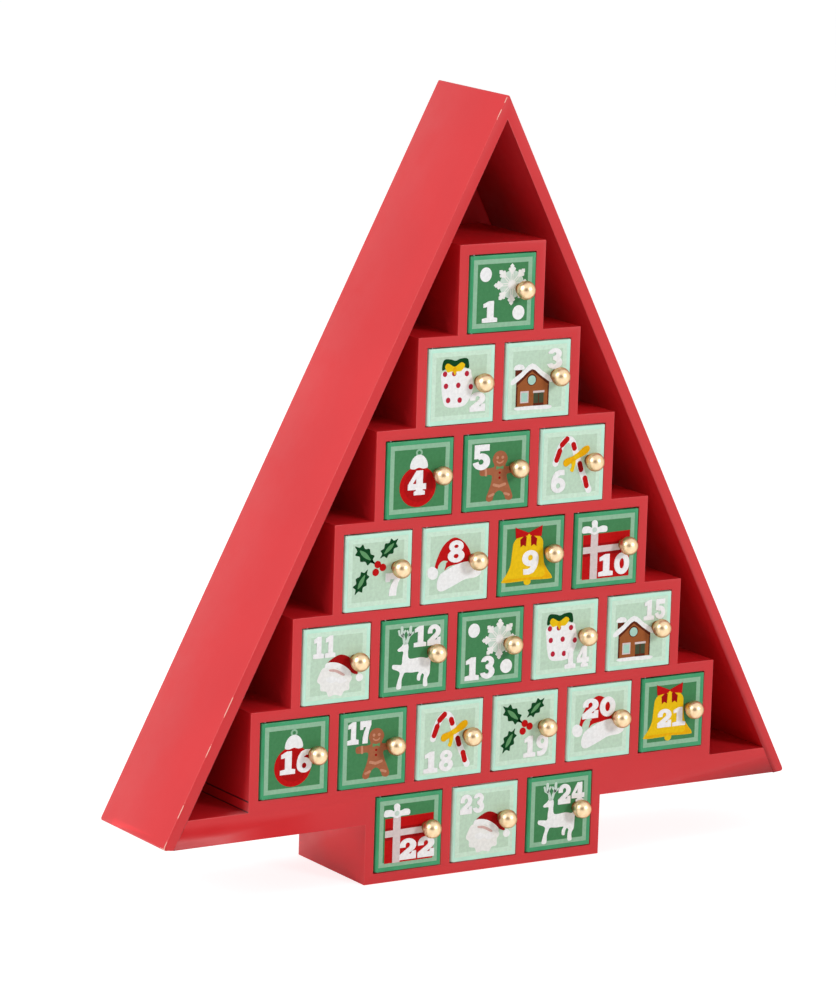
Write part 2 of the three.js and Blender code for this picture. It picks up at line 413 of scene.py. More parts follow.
def square(half):
    return [(-half, -half), (half, -half), (half, half), (-half, half)]


def rectangle(left, bottom, right, top):
    return [(left, bottom), (right, bottom), (right, top), (left, top)]


def moved(points, x=0.0, z=0.0, turn=0.0, scale=1.0):
    """The points scaled, turned by degrees about the origin and then moved."""
    cosine, sine = math.cos(math.radians(turn)), math.sin(math.radians(turn))
    return [
        (x + scale * (px * cosine - pz * sine), z + scale * (px * sine + pz * cosine))
        for px, pz in points
    ]


def smooth(points, steps=5):
    """A closed round outline through the points."""
    made = []
    count = len(points)
    for index in range(count):
        before, here, after, later = (Vector(points[(index + k) % count]) for k in (-1, 0, 1, 2))
        for step in range(steps):
            t = step / steps
            point = 0.5 * (
                2 * here
                + (after - before) * t
                + (2 * before - 5 * here + 4 * after - later) * t ** 2
                + (3 * here - before - 3 * after + later) * t ** 3
            )
            made.append(tuple(point))
    return made


def band(points, width):
    """The outline of a band of even width along a path, with round ends."""
    path = [Vector(point) for point in points]
    left, right = [], []
    for index, point in enumerate(path):
        ahead = path[min(index + 1, len(path) - 1)] - path[max(index - 1, 0)]
        side = Vector((-ahead.y, ahead.x)).normalized() * width / 2
        left.append(tuple(point + side))
        right.append(tuple(point - side))

    def cap(centre, edge):
        start = math.degrees(math.atan2(edge[1] - centre.y, edge[0] - centre.x))
        return arc(centre.x, centre.y, width / 2, width / 2, start, start - 180)[1:-1]

    return left + cap(path[-1], left[-1]) + right[::-1] + cap(path[0], right[0])


# Numerals with slab serifs, in a box ten units high

def digit_one():
    return [[(0, 0), (7.8, 0), (7.8, 1.9), (5.9, 2.3), (5.9, 10), (3.5, 10), (0.5, 8.7), (0.5, 7.0),
             (2.5, 7.3), (2.5, 2.3), (0, 1.9)]]


def digit_two():
    bowl = arc(4.2, 6.7, 4.1, 3.3, 180, -40)
    foot = [(4.5, 2.6), (5.9, 2.6), (6.3, 3.8), (8.3, 3.8), (8.3, 0), (0, 0), (0, 2.4)]
    inner = arc(4.1, 6.8, 1.15, 1.2, -50, 190)
    return [bowl + foot + inner + [(2.9, 5.8), (0.1, 5.8)]]


def digit_three():
    upper = arc(3.9, 7.2, 3.6, 2.8, 172, -35)
    lower = arc(3.9, 3.0, 4.0, 3.0, 45, -172)
    lower_inner = arc(3.7, 3.1, 1.1, 0.95, -165, 80)
    upper_inner = arc(3.7, 7.2, 0.95, 0.8, -75, 165)
    return [upper + lower + lower_inner + [(2.9, 4.6), (2.9, 6.0)] + upper_inner]


def digit_four():
    body = [(3.9, 10), (7.0, 10), (7.0, 4.6), (8.6, 4.6), (8.6, 2.2), (7.0, 2.2), (7.0, 1.8), (8.1, 1.5),
            (8.1, 0), (2.9, 0), (2.9, 1.5), (3.9, 1.8), (3.9, 2.2), (0, 2.2), (0, 4.3)]
    return [body, [(3.9, 4.6), (3.9, 6.9), (2.2, 4.6)]]


def digit_five():
    bowl = arc(3.9, 3.3, 3.9, 3.3, 112, -172)
    inner = arc(3.7, 3.2, 1.2, 1.05, -165, 135)
    return [[(0.7, 10), (7.4, 10), (7.4, 7.5), (3.1, 7.5), (3.0, 6.3)] + bowl[1:] + [(2.6, 3.4)] + inner
            + [(2.4, 4.5), (0.6, 4.5)]]


def digit_six():
    stem = [(0.0, 3.8), (0.2, 5.6), (0.9, 7.6), (2.3, 9.3), (4.4, 10), (7.0, 9.9), (7.2, 7.6), (5.0, 7.7),
            (3.9, 7.2), (3.6, 6.6)]
    return [stem + arc(3.9, 3.3, 3.9, 3.3, 90, -172), disc(3.9, 3.1, 1.2, 1.2)]


def digit_seven():
    return [[(0.2, 10), (7.8, 10), (7.8, 8.0), (6.4, 5.6), (5.7, 2.8), (5.5, 0), (1.9, 0), (2.2, 2.6),
             (3.1, 5.2), (4.4, 7.3), (2.5, 7.3), (2.2, 6.2), (0.2, 6.2)]]


def digit_eight():
    outline = arc(3.95, 7.3, 3.4, 2.7, -40, 220) + arc(3.95, 3.0, 3.95, 3.0, 128, 412)
    return [outline, disc(3.95, 7.3, 1.05, 0.8), disc(3.95, 2.9, 1.25, 1.0)]


def digit_nine():
    return [[(7.6 - x, 10 - z) for x, z in loop] for loop in digit_six()]


def digit_zero():
    return [disc(4.1, 5, 4.1, 5), disc(4.1, 5, 1.3, 2.4)]


DIGITS = {
    "0": (digit_zero, 8.2),
    "1": (digit_one, 7.8),
    "2": (digit_two, 8.3),
    "3": (digit_three, 7.9),
    "4": (digit_four, 8.6),
    "5": (digit_five, 7.8),
    "6": (digit_six, 7.8),
    "7": (digit_seven, 7.8),
    "8": (digit_eight, 7.9),
    "9": (digit_nine, 7.8),
}

# Left, bottom, right and top of each door's numeral
NUMERAL_BOXES = {
    1: (-11.2, -13.3, -3.0, -3.3), 2: (4.6, -12.6, 13.0, -3.6), 3: (4.8, 4.5, 13.0, 14.3),
    4: (-6.7, -7.6, 3.1, 3.9), 5: (-13.6, 1.4, -4.2, 13.4), 6: (-11.8, -12.8, -3.8, -1.9),
    7: (3.6, -12.0, 12.2, -1.2), 8: (-4.7, 0.7, 4.4, 11.2), 9: (-5.2, -8.6, 3.9, 3.0),
    10: (-4.2, -13.1, 13.3, -2.6), 11: (-13.0, 4.0, -1.2, 14.3), 12: (-0.8, 4.4, 13.7, 14.3),
    13: (-14.3, -14.6, 2.2, -3.6), 14: (-0.4, -14.2, 13.2, -4.0), 15: (1.9, 5.0, 14.2, 14.8),
    16: (-8.1, -7.1, 8.7, 3.8), 17: (-14.4, 3.2, -1.7, 13.9), 18: (-14.4, -14.9, 1.8, -4.7),
    19: (-0.9, -13.2, 13.1, -2.9), 20: (-10.2, 2.0, 8.6, 11.8), 21: (-8.7, -6.8, 7.5, 2.3),
    22: (-5.2, -13.2, 13.9, -3.1), 23: (-14.3, 4.8, -1.0, 14.4), 24: (-1.2, 3.6, 13.6, 13.4),
}


def numeral(number):
    """The numeral's shapes, from left to right."""
    left, bottom, right, top = NUMERAL_BOXES[number]
    text = str(number)
    width = sum(DIGITS[digit][1] for digit in text) + DIGIT_GAP * (len(text) - 1)
    across, up = (right - left) / width, (top - bottom) / DIGIT_BOX
    start = 0.0
    shapes = []
    for digit in text:
        loops, advance = DIGITS[digit]
        placed = [[(left + (px + start) * across, bottom + pz * up) for px, pz in loop] for loop in loops()]
        shapes.append(("digit", NUMERAL_LAYER, placed))
        start += advance + DIGIT_GAP
    return shapes


# Pictures: lists of (ink, layer, loops); a higher layer lies on the lower ones

def snowflake():
    """A flake of eight barbed arms with a snowball at two corners."""
    x, z = 4.6, 3.8
    arm = [(-0.7, 0), (-0.7, 5.4), (-2.1, 7.2), (-1.3, 8.1), (-0.9, 7.7), (-1.1, 8.8), (0, 9.8), (1.1, 8.8),
           (0.9, 7.7), (1.3, 8.1), (2.1, 7.2), (0.7, 5.4), (0.7, 0)]
    spoke = [(-0.3, 2.2), (-0.3, 4.8), (0.3, 4.8), (0.3, 2.2)]
    shapes = [("frost", 2, [disc(x, z, 6.6)])]
    shapes += [("snow", 3, [moved(arm, x, z, turn=45 * k)]) for k in range(8)]
    shapes += [("frost", 4, [moved(spoke, x, z, turn=45 * k)]) for k in range(8)]
    shapes.append(("white", 5, [disc(x, z, 1.9)]))
    shapes.append(("white", 2, [disc(-9.7, 9.1, 3.2, 3.4)]))
    shapes.append(("white", 2, [disc(8.8, -9.6, 3.3, 3.4)]))
    return shapes


def spotted_bag():
    """A white gift bag with red spots, a green frill and a yellow bow."""
    body = smooth([(-10.9, 6.6), (-11.0, 1.0), (-10.3, -5.0), (-8.4, -9.2), (-3.0, -10.0), (2.0, -9.2),
                   (5.2, -5.0), (6.4, 0.0), (5.2, 5.0), (4.0, 7.6), (-4.0, 8.2)])
    frill = smooth([(-10.8, 7.8), (-10.6, 11.4), (-9.2, 12.9), (-6.0, 12.6), (-3.6, 11.9), (-1.2, 12.7),
                    (2.2, 12.8), (3.4, 11.2), (3.5, 8.0), (0.4, 8.9), (-1.6, 7.6), (-4.4, 8.8), (-6.6, 7.6),
                    (-8.4, 8.6)])
    spots = [(-9.3, 6.0), (-4.3, 6.0), (2.6, 5.5), (-8.6, 0.3), (-1.9, 0.3), (5.0, -0.8), (-7.2, -6.4),
             (-0.9, -6.7)]
    bow = smooth([(-9.4, 9.4), (-7.8, 10.9), (-4.2, 9.2), (-0.6, 11.0), (1.4, 9.6), (-0.6, 7.0), (-3.0, 6.8),
                  (-4.0, 5.2), (-5.2, 7.0), (-8.0, 6.8)])
    shapes = [("white", 2, [body]), ("leaf", 3, [frill]), ("yellow", 4, [bow]),
              ("amber", 5, [disc(-4.1, 7.9, 1.1)])]
    shapes += [("berry", 3, [disc(x, z, 1.2, 1.3)]) for x, z in spots]
    return shapes


def gingerbread_house():
    """A brown house with snow on its roof, its chimney and the ground."""
    wall = [(-11.3, -12.2), (6.9, -12.2), (6.9, -1.6), (-2.8, 5.6), (-11.3, -0.6)]
    eaves = [(-11.3, -2.6), (-11.3, -0.6), (-2.8, 5.6), (6.9, -0.6), (6.9, -2.8), (-2.8, 4.2)]
    roof = [(-14.4, -1.4), (-13.8, 0.6), (-9.0, 3.8), (-2.8, 7.9), (3.0, 4.0), (8.0, 0.8), (8.8, -1.2),
            (7.2, -1.4), (2.0, 2.0), (-2.8, 5.2), (-8.0, 1.6), (-12.4, -1.4)]
    chimney_snow = [(-12.6, 5.4), (-12.2, 7.2), (-10.0, 7.8), (-7.6, 7.2), (-7.4, 5.4)]
    ground = [(-11.6, -12.6), (-4.0, -12.2), (3.0, -12.3), (8.6, -12.8), (7.0, -14.2), (-2.0, -14.0),
              (-10.4, -13.8)]
    return [
        ("brown", 2, [wall]),
        ("dark_brown", 3, [eaves]),
        ("dark_brown", 3, [rectangle(-11.3, -12.2, -10.5, -2.6)]),
        ("dark_brown", 3, [rectangle(6.2, -12.2, 6.9, -2.8)]),
        ("white", 4, [smooth(roof, steps=3)]),
        ("dark_brown", 2, [rectangle(-12.0, 2.2, -8.2, 5.6)]),
        ("white", 4, [smooth(chimney_snow)]),
        ("dark_brown", 3, [disc(-2.8, 0.1, 2.7)]),
        ("window", 4, [disc(-2.8, 0.0, 2.2)]),
        ("ribbon", 3, [rectangle(-8.9, -10.6, -4.3, -5.0)]),
        ("window", 4, [rectangle(-8.3, -10.0, -4.9, -5.8)]),
        ("ribbon", 3, [rectangle(-1.8, -6.2, 4.4, -5.2)]),
        ("door_dark", 3, [rectangle(-1.5, -12.0, 4.1, -6.2)]),
        ("dark_brown", 4, [rectangle(-1.5, -12.2, 4.1, -11.0)]),
        ("dark_brown", 4, [rectangle(1.1, -11.0, 1.5, -6.2)]),
        ("white", 2, [smooth(ground)]),
    ]


def bauble():
    """A red ball with a darker middle, a white cap and a ring."""
    cap = [(-5.6, 5.2), (-5.2, 8.0), (-3.4, 10.4), (-0.9, 11.3), (1.6, 10.4), (3.4, 8.0), (3.8, 5.2),
           (1.6, 4.6), (-0.9, 5.2), (-3.4, 4.6)]
    return [
        ("red", 2, [disc(-1.2, -3.7, 9.9, 9.6)]),
        ("garnet", 3, [disc(-0.8, -3.2, 7.8, 7.6)]),
        ("white", 4, [smooth(cap)]),
        ("green_line", 3, [disc(-0.9, 12.2, 1.8), disc(-0.9, 12.2, 0.9)]),
    ]


def gingerbread_man():
    """A biscuit man with thin lines of icing and a green bow tie."""
    body = smooth([(2.6, 9.8), (5.4, 8.7), (6.8, 5.8), (5.6, 2.9), (6.6, 2.1), (11.4, 2.0), (12.6, 0.4),
                   (11.4, -1.3), (6.7, -1.4), (7.2, -5.0), (8.8, -8.8), (10.1, -12.4), (8.8, -14.0),
                   (6.4, -13.4), (5.2, -10.6), (2.6, -9.0), (0.0, -10.6), (-1.0, -13.4), (-3.2, -14.0),
                   (-4.5, -12.4), (-3.2, -8.8), (-1.9, -5.0), (-2.0, -1.4), (-7.3, -1.5), (-8.5, 0.2),
                   (-7.4, 1.9), (-1.8, 2.0), (-0.4, 2.9), (-1.5, 5.8), (-0.2, 8.7)], steps=4)
    bow_tie = [(0.6, 0.9), (0.6, 2.7), (2.6, 2.1), (4.6, 2.7), (4.6, 0.9), (2.6, 1.5)]
    lines = [([(-5.2, 1.6), (-5.0, -1.2)], 1.2), ([(-0.4, -6.2), (2.6, -7.0), (5.6, -6.2)], 1.4),
             ([(-2.9, -11.4), (-0.5, -10.6)], 1.2), ([(5.6, -10.6), (8.0, -11.4)], 1.2)]
    smile = arc(2.6, 5.7, 1.9, 1.7, 210, 330)
    shapes = [("biscuit", 2, [body])]
    shapes += [("icing", 3, [band(path, width)]) for path, width in lines]
    shapes.append(("icing", 3, [band(smile, 0.7)]))
    shapes += [("icing", 3, [disc(x, 6.6, 0.75)]) for x in (1.2, 4.0)]
    shapes.append(("leaf_light", 3, [bow_tie]))
    shapes += [("deep_red", 3, [disc(2.6, z, 0.6)]) for z in (-0.6, -3.0)]
    return shapes


def candy_cane():
    """A white cane with red stripes and a yellow bow across it."""
    path = [(-8.9, 1.4), (-8.1, 4.4), (-7.0, 7.4), (-5.4, 10.2), (-3.3, 12.1), (-1.0, 12.1),
            (0.6, 10.4), (1.6, 7.6), (2.8, 4.4), (4.4, 0.4), (6.2, -4.0), (8.2, -8.4), (10.2, -12.6)]
    stripes = [("red", (-2.9, 12.5), (-5.6, 10.0)), ("red", (-6.8, 7.1), (-8.4, 2.9)),
               ("red", (0.8, 9.6), (1.4, 7.9)), ("deep_red", (4.7, 0.2), (5.5, -2.6)),
               ("red", (7.9, -7.0), (8.9, -10.6))]
    bow = smooth([(-4.5, 1.5), (-3.4, 3.0), (0.6, 4.1), (3.6, 5.8), (6.8, 8.1), (9.2, 8.5), (9.9, 6.6),
                  (8.0, 4.6), (3.6, 2.7), (0.2, 1.2), (-2.6, -0.5), (-4.2, -0.1)])
    tail = smooth([(-0.6, 2.4), (2.2, 2.6), (1.8, -1.2), (0.9, -3.4), (-0.6, -2.6), (0.2, -0.4)])
    shapes = [("white", 2, [smooth(band(path, 3.3), steps=2)])]
    shapes.append(("berry", 3, [band([(-5.6, 10.0), (-6.8, 7.1)], 1.0)]))
    shapes += [(ink_name, 4, [band([low, high], 2.6)]) for ink_name, low, high in stripes]
    shapes += [("yellow", 5, [tail]), ("amber", 6, [bow]), ("yellow", 7, [disc(2.7, 3.8, 1.6, 1.3)])]
    return shapes


def holly():
    """Three holly leaves round red berries."""
    leaf = [(0, 6.6), (0.9, 4.4), (2.8, 4.0), (2.0, 1.9), (3.3, 0.2), (2.0, -1.7), (2.5, -3.7),
            (0.8, -4.1), (0, -6.2), (-0.8, -4.1), (-2.5, -3.7), (-2.0, -1.7), (-3.3, 0.2), (-2.0, 1.9),
            (-2.8, 4.0), (-0.9, 4.4)]
    vein = smooth([(0, 3.6), (1.0, 0.4), (0, -3.4), (-1.0, 0.4)])
    shapes = []
    for x, z, turn, size in ((-7.4, 8.2, 50, 1.12), (5.2, 10.3, -48, 1.0), (-9.1, -4.0, 150, 1.04)):
        shapes.append(("leaf", 2, [moved(smooth(leaf, steps=3), x, z, turn, size)]))
        shapes.append(("leaf_light", 3, [moved(vein, x, z, turn, size)]))
    shapes.append(("leaf", 2, [band([(-4.6, 5.8), (-1.4, 3.4)], 0.8)]))
    shapes += [("red", 3, [disc(x, z, 1.75)]) for x, z in ((-0.6, 3.4), (2.2, 1.8), (-1.6, -0.2))]
    return shapes


def wool_hat():
    """A red hat with a white brim and a bobble that hangs at the left."""
    crown = smooth([(-10.6, -1.0), (-9.6, 2.8), (-7.4, 7.4), (-4.6, 10.6), (-0.2, 12.6), (4.4, 10.6),
                    (7.6, 7.0), (9.2, 3.2), (9.6, 0.6), (3.0, 0.0), (-3.0, -1.0), (-5.2, -2.6),
                    (-4.6, 0.4), (-7.0, 1.0), (-8.9, -1.4)])
    fold = smooth([(-8.9, -1.6), (-8.2, 0.6), (-6.2, 2.0), (-3.8, 1.6), (-4.8, 0.4), (-5.6, -2.0),
                   (-7.4, -3.2)])
    brim = smooth([(-9.2, -8.0), (-8.8, -11.4), (-6.2, -12.4), (0.0, -10.2), (6.0, -7.8), (12.0, -7.2),
                   (14.8, -5.4), (13.6, -2.4), (10.0, 0.0), (6.0, 0.6), (1.0, -0.4), (-3.4, -2.2),
                   (-7.4, -4.2)])
    bobble = smooth([(-12.2, -0.2), (-10.0, -1.2), (-8.8, -3.2), (-9.6, -5.8), (-12.2, -6.4), (-14.2, -4.8),
                     (-14.6, -2.2), (-13.6, -0.8)])
    return [("red", 2, [crown]), ("mint_field", 3, [fold]), ("white", 4, [brim]), ("white", 4, [bobble])]


def bell():
    """A yellow bell under a red bow."""
    body = smooth([(-1.2, 10.6), (3.6, 10.0), (6.6, 7.4), (7.0, 3.0), (7.8, -3.6), (10.2, -7.6),
                   (12.2, -10.2), (11.4, -11.6), (0.6, -11.3), (-3.0, -11.5), (-14.6, -11.6),
                   (-15.2, -10.3), (-12.9, -7.4), (-11.0, -3.4), (-10.2, 3.0), (-9.4, 7.4),
                   (-6.2, 10.0)])
    shade = smooth([(8.0, -4.6), (9.8, -8.0), (11.8, -10.4), (10.6, -11.4), (-1.2, -11.0),
                    (-13.6, -11.4), (-12.8, -10.2), (-1.2, -10.0), (7.8, -10.0)])
    loop = [(-1.3, 11.4), (-8.8, 14.4), (-8.4, 9.2), (-1.3, 10.2)]
    tail = [(-3.4, 10.4), (-6.0, 8.4), (-5.7, 4.7), (-4.3, 5.8), (-2.8, 4.9), (-2.5, 9.4)]
    middle = -1.3
    shapes = [("yellow", 3, [body]), ("amber", 4, [shade]), ("yellow", 2, [disc(middle, -11.8, 2.0, 1.9)])]
    for outline, ink_name, layer in ((tail, "deep_red", 4), (loop, "red", 5)):
        other = [(2 * middle - x, z) for x, z in outline]
        shapes += [(ink_name, layer, [outline]), (ink_name, layer, [other])]
    shapes.append(("yellow", 6, [disc(middle, 7.9, 1.2, 3.0)]))
    return shapes


def gift():
    """A red parcel with a pale ribbon and its bow at the upper left."""
    bow = [(-14.0, 8.6), (-13.6, 11.4), (-10.4, 11.6), (-8.6, 10.8), (-8.8, 13.4), (-7.2, 14.4), (-5.6, 13.4),
           (-5.4, 10.8), (-2.8, 11.4), (-0.2, 10.8), (-0.4, 8.4), (-4.6, 8.2), (-7.2, 7.4), (-10.2, 8.4)]
    return [
        ("red", 2, [[(-13.3, -14.1), (13.2, -14.1), (13.2, 8.0), (-13.3, 7.4)]]),
        ("deep_red", 3, [[(-13.3, -3.0), (13.2, -2.4), (13.2, -1.0), (-13.3, -1.6)]]),
        ("deep_red", 3, [[(-13.3, 1.6), (13.2, 2.0), (13.2, 3.2), (-13.3, 2.8)]]),
        ("ribbon", 5, [rectangle(-9.0, -14.1, -5.0, 9.0)]),
        ("ribbon", 4, [[(-13.3, -1.6), (13.2, -1.0), (13.2, 2.0), (-13.3, 1.6)]]),
        ("white", 6, [smooth(bow, steps=4)]),
        ("frost", 7, [disc(-7.2, 9.7, 1.3, 1.2)]),
    ]


def hat_and_beard():
    """A red hat with its white band over a big white beard, with a thin pale pink strip between them."""
    beard = smooth([(-6.4, -0.8), (-8.4, -3.4), (-9.6, -6.8), (-8.0, -8.6), (-7.6, -11.4),
                    (-4.6, -12.2), (-3.2, -14.6), (0.0, -14.0), (3.4, -14.8), (5.0, -12.8),
                    (7.6, -12.2), (7.8, -9.2), (9.0, -7.0), (7.4, -4.6), (2.0, -2.2), (-2.0, -0.6)])
    moustache = smooth([(-5.0, -6.4), (-2.0, -5.0), (0.9, -6.2), (3.6, -5.8), (6.4, -7.8), (2.8, -8.8),
                        (0.6, -7.8), (-2.4, -8.2)])
    crown = smooth([(-4.2, 1.2), (-1.0, 3.6), (3.0, 4.7), (7.4, 3.0), (10.8, -0.6), (12.0, -5.2), (9.2, -4.6),
                    (5.4, -1.8), (0.6, 0.6)])
    brim = smooth([(-5.8, -0.2), (-4.4, 1.5), (0.4, 1.2), (4.8, -0.8), (8.2, -3.8), (7.8, -5.8), (4.2, -3.4),
                   (0.0, -1.2), (-4.4, -0.9)])
    shade = smooth([(-3.2, -1.8), (0.6, -2.2), (4.9, -4.7), (4.1, -5.4), (0.2, -3.4), (-2.9, -2.7)])
    return [
        ("snow", 2, [beard]),
        ("blush", 3, [shade]),
        ("white", 4, [moustache]),
        ("deep_red", 3, [crown]),
        ("white", 5, [brim]),
        ("white", 4, [disc(13.0, -7.0, 1.9)]),
    ]


def reindeer():
    """A white deer that steps to the left."""
    body = smooth([(-4.5, 7.2), (-3.5, 5.0), (-3.7, 1.6), (-2.6, -0.9), (3.4, -0.7), (7.0, -1.4),
                   (9.2, 0.0), (8.8, -3.0), (8.6, -6.4), (8.4, -9.0), (7.2, -11.4), (7.4, -14.6),
                   (5.2, -14.6), (5.0, -11.4), (5.4, -9.4), (4.4, -8.6), (3.6, -10.0), (3.2, -11.8),
                   (1.7, -11.4), (1.7, -9.2), (2.4, -7.6), (-1.6, -7.6), (-5.0, -7.3), (-6.0, -8.6),
                   (-6.8, -11.0), (-7.0, -14.6), (-9.6, -14.6), (-8.9, -11.0), (-7.9, -7.4),
                   (-9.4, -6.0), (-11.9, -4.9), (-11.9, -3.1), (-9.4, -3.2), (-7.0, -3.2), (-6.7, 0.0),
                   (-6.4, 2.8), (-8.8, 3.0), (-9.4, 4.0), (-7.4, 5.4), (-6.0, 7.0)], steps=4)
    antlers = [([(-5.7, 6.6), (-6.2, 9.0), (-7.2, 11.2), (-7.4, 14.2)], 1.5),
               ([(-6.6, 9.6), (-8.6, 11.0), (-9.0, 12.8)], 1.1), ([(-6.6, 11.0), (-5.6, 12.6)], 1.0),
               ([(-4.6, 6.8), (-3.8, 9.2), (-2.8, 11.2), (-2.6, 14.0)], 1.5),
               ([(-3.4, 9.8), (-1.2, 11.4)], 1.0), ([(-3.4, 10.6), (-4.4, 12.4)], 1.0)]
    return [("white", 2, [body])] + [("frost", 3, [band(path, width)]) for path, width in antlers]


def shifted(picture, x):
    """The picture moved sideways."""
    def shapes():
        return [
            (ink_name, layer, [moved(loop, x) for loop in loops])
            for ink_name, layer, loops in picture()
        ]
    return shapes


# The pictures of doors 1 to 12, and again of doors 13 to 24
PICTURES = [snowflake, spotted_bag, shifted(gingerbread_house, -0.7), bauble, shifted(gingerbread_man, -1.1),
            shifted(candy_cane, -0.6), holly, shifted(wool_hat, -0.9), shifted(bell, -0.8), gift,
            shifted(hat_and_beard, -0.8), reindeer]


# Mesh making

def new_object(name, mesh):
    made = bpy.data.objects.new(name, mesh)
    bpy.context.scene.collection.objects.link(made)
    return made


def final_mesh(made):
    """The object's mesh with its modifiers applied; the object is removed."""
    bpy.context.view_layer.update()
    mesh = bpy.data.meshes.new_from_object(made.evaluated_get(bpy.context.evaluated_depsgraph_get()))
    bpy.data.objects.remove(made)
    return mesh


def shade_smooth(mesh):
    for polygon in mesh.polygons:
        polygon.use_smooth = True


def raised_shape(loops, layer):
    """Loops of one shape as a thin raised solid in front of the door, with a slightly rounded edge."""
    curve = bpy.data.curves.new("shape", "CURVE")
    curve.dimensions = "2D"
    curve.fill_mode = "BOTH"
    curve.extrude = (LAYER * layer / 2 - INK_EDGE) * MM
    curve.bevel_depth = INK_EDGE * MM
    curve.bevel_resolution = 1
    curve.offset = -INK_EDGE * MM
    for loop in loops:
        spline = curve.splines.new("POLY")
        spline.points.add(len(loop) - 1)
        for point, (x, z) in zip(spline.points, loop):
            point.co = (x * MM, z * MM, 0, 1)
        spline.use_cyclic_u = True
    mesh = final_mesh(new_object("shape", curve))
    bpy.data.curves.remove(curve)
    upright = Matrix.Rotation(math.radians(90), 4, "X")
    mesh.transform(Matrix.Translation((0, -LAYER * layer / 2 * MM, 0)) @ upright)
    return mesh


def printed(name, shapes, door_middle, body, inks):
    """One object from a door's shapes, each in its own ink, on the door's front."""
    used = sorted({ink_name for ink_name, _, _ in shapes})
    whole = bmesh.new()
    for ink_name, layer, loops in shapes:
        mesh = raised_shape(loops, layer)
        for polygon in mesh.polygons:
            polygon.material_index = used.index(ink_name)
        whole.from_mesh(mesh)
        bpy.data.meshes.remove(mesh)
    mesh = bpy.data.meshes.new(name)
    whole.to_mesh(mesh)
    whole.free()
    for ink_name in used:
        mesh.materials.append(inks[ink_name])
    made = new_object(name, mesh)
    made.location = door_middle
    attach(made, body)


def without_nails(mesh):
    """The node as a clean bmesh, without the hinge nails that the solid holds."""
    clean = bmesh.new()
    clean.from_mesh(mesh)
    bmesh.ops.remove_doubles(clean, verts=clean.verts, dist=WELD)
    axes = [Vector(joint["pos_m"][:2]) for joint in frame["joints"]]

    def on_nail(vert):
        return any((vert.co.xy - axis).length < NAIL_REACH for axis in axes)

    nails = [face for face in clean.faces if all(on_nail(vert) for vert in face.verts)]
    bmesh.ops.delete(clean, geom=nails, context="FACES")
    bmesh.ops.holes_fill(clean, edges=[edge for edge in clean.edges if edge.is_boundary])
    flatten(clean)
    return clean


def flatten(made):
    """Joins the triangles of each flat face."""
    bmesh.ops.dissolve_limit(
        made, angle_limit=FLAT_ANGLE, verts=made.verts, edges=made.edges, use_dissolve_boundaries=False
    )


def mark_convex(made, skip=lambda edge: False):
    """Marks the sharp outer edges that round_edges is to round."""
    layers = made.edges.layers.float
    weight = layers.get("bevel_weight_edge") or layers.new("bevel_weight_edge")
    for edge in made.edges:
        sharp = len(edge.link_faces) == 2 and edge.is_convex and edge.calc_face_angle() > CONVEX_EDGE
        edge[weight] = 1.0 if sharp and not skip(edge) else 0.0


def round_edges(made, width, edge_material=-1):
    bevel = made.modifiers.new("RoundEdges", "BEVEL")
    bevel.width = width
    bevel.segments = EDGE_SEGMENTS
    bevel.limit_method = "WEIGHT"
    bevel.harden_normals = True
    bevel.material = edge_material
    shade_smooth(made.data)


def painted_carcass(materials):
    """The frame, the row boxes and the trunk as the paint leaves them: one skin with soft edges."""
    names = [name for name in frame["nodes"] if name.endswith(("_box", "_side_board")) or "rail" in name]
    solids = []
    for name in sorted(names):
        clean = without_nails(frame["nodes"][name].data)
        mesh = bpy.data.meshes.new("solid")
        clean.to_mesh(mesh)
        clean.free()
        solids.append(new_object("solid", mesh))
    first, others = solids[0], solids[1:]
    for other in others:
        union = first.modifiers.new("Join", "BOOLEAN")
        union.operation = "UNION"
        union.solver = "EXACT"
        union.object = other
    mesh = final_mesh(first)
    for other in others:
        bpy.data.objects.remove(other)
    clean = bmesh.new()
    clean.from_mesh(mesh)
    bmesh.ops.remove_doubles(clean, verts=clean.verts, dist=JOINED_WELD)
    flatten(clean)
    mark_convex(clean)
    clean.to_mesh(mesh)
    clean.free()
    made = new_object("painted_carcass", mesh)
    mesh.materials.clear()
    for material in materials:
        mesh.materials.append(material)
    round_edges(made, PAINTED_EDGE, edge_material=1)
    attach(made, CARCASS)
    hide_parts(*names)


def round_bar(made, place, bottom, top):
    """An upright round nail with closed ends."""
    rings = []
    for height in (bottom, top):
        ring = []
        for side in range(NAIL_SIDES):
            angle = math.tau * side / NAIL_SIDES
            across = Vector((math.cos(angle), math.sin(angle))) * NAIL_RADIUS
            ring.append(made.verts.new((place[0] + across.x, place[1] + across.y, height)))
        rings.append(ring)
    low, high = rings
    made.faces.new(low[::-1])
    made.faces.new(high)
    for side in range(NAIL_SIDES):
        after = (side + 1) % NAIL_SIDES
        made.faces.new((low[side], low[after], high[after], high[side]))


def hinge_nails(material):
    """The nail ends that the doors turn on, from inside the shelf to inside the door."""
    made = bmesh.new()
    for joint in frame["joints"]:
        low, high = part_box(joint["child"])
        place = joint["pos_m"][:2]
        round_bar(made, place, high.z - NAIL_IN_DOOR, high.z + DOOR_GAP + NAIL_IN_SHELF)
        round_bar(made, place, low.z - DOOR_GAP - NAIL_IN_SHELF, low.z + NAIL_IN_DOOR)
    mesh = bpy.data.meshes.new("hinge_nails")
    made.to_mesh(mesh)
    made.free()
    mesh.materials.append(material)
    nails = new_object("hinge_nails", mesh)
    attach(nails, CARCASS)


